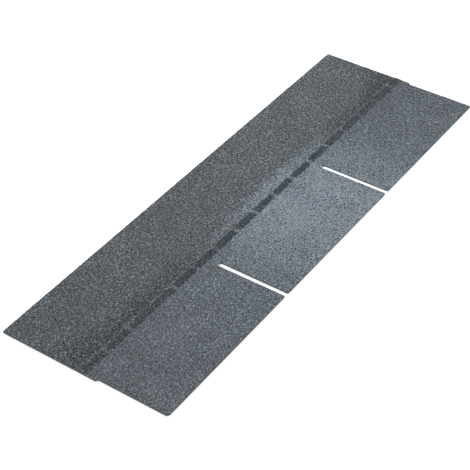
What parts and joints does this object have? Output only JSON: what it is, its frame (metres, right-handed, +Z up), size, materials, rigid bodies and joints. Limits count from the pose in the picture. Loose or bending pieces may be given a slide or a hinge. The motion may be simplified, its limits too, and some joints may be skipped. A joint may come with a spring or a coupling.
{
  "type": "three-tab asphalt shingle",
  "caption": "Flat granule-faced asphalt strip shingle with round-ended cut-outs between its tabs and a row of self-seal adhesive dashes along the middle.",
  "frame": {"origin": "middle of the sheet, on its underside", "axes": "+X along the strip, -Y towards the tabs' lower edge, +Z up out of the granule face"},
  "size_m": [0.9144, 0.3048, 0.0038],
  "materials": {
    "granule_asphalt": "matte",
    "seal_asphalt": "matte"
  },
  "bodies": {
    "root": {"shingle_sheet": "granule_asphalt", "seal_dash_01": "seal_asphalt", "seal_dash_02": "seal_asphalt", "seal_dash_03": "seal_asphalt", "seal_dash_04": "seal_asphalt", "seal_dash_05": "seal_asphalt", "seal_dash_06": "seal_asphalt", "seal_dash_07": "seal_asphalt", "seal_dash_08": "seal_asphalt", "seal_dash_09": "seal_asphalt", "seal_dash_10": "seal_asphalt", "seal_dash_11": "seal_asphalt", "seal_dash_12": "seal_asphalt", "seal_dash_13": "seal_asphalt", "seal_dash_14": "seal_asphalt", "seal_dash_15": "seal_asphalt", "seal_dash_16": "seal_asphalt", "seal_dash_end": "seal_asphalt"}
  },
  "joints": []
}
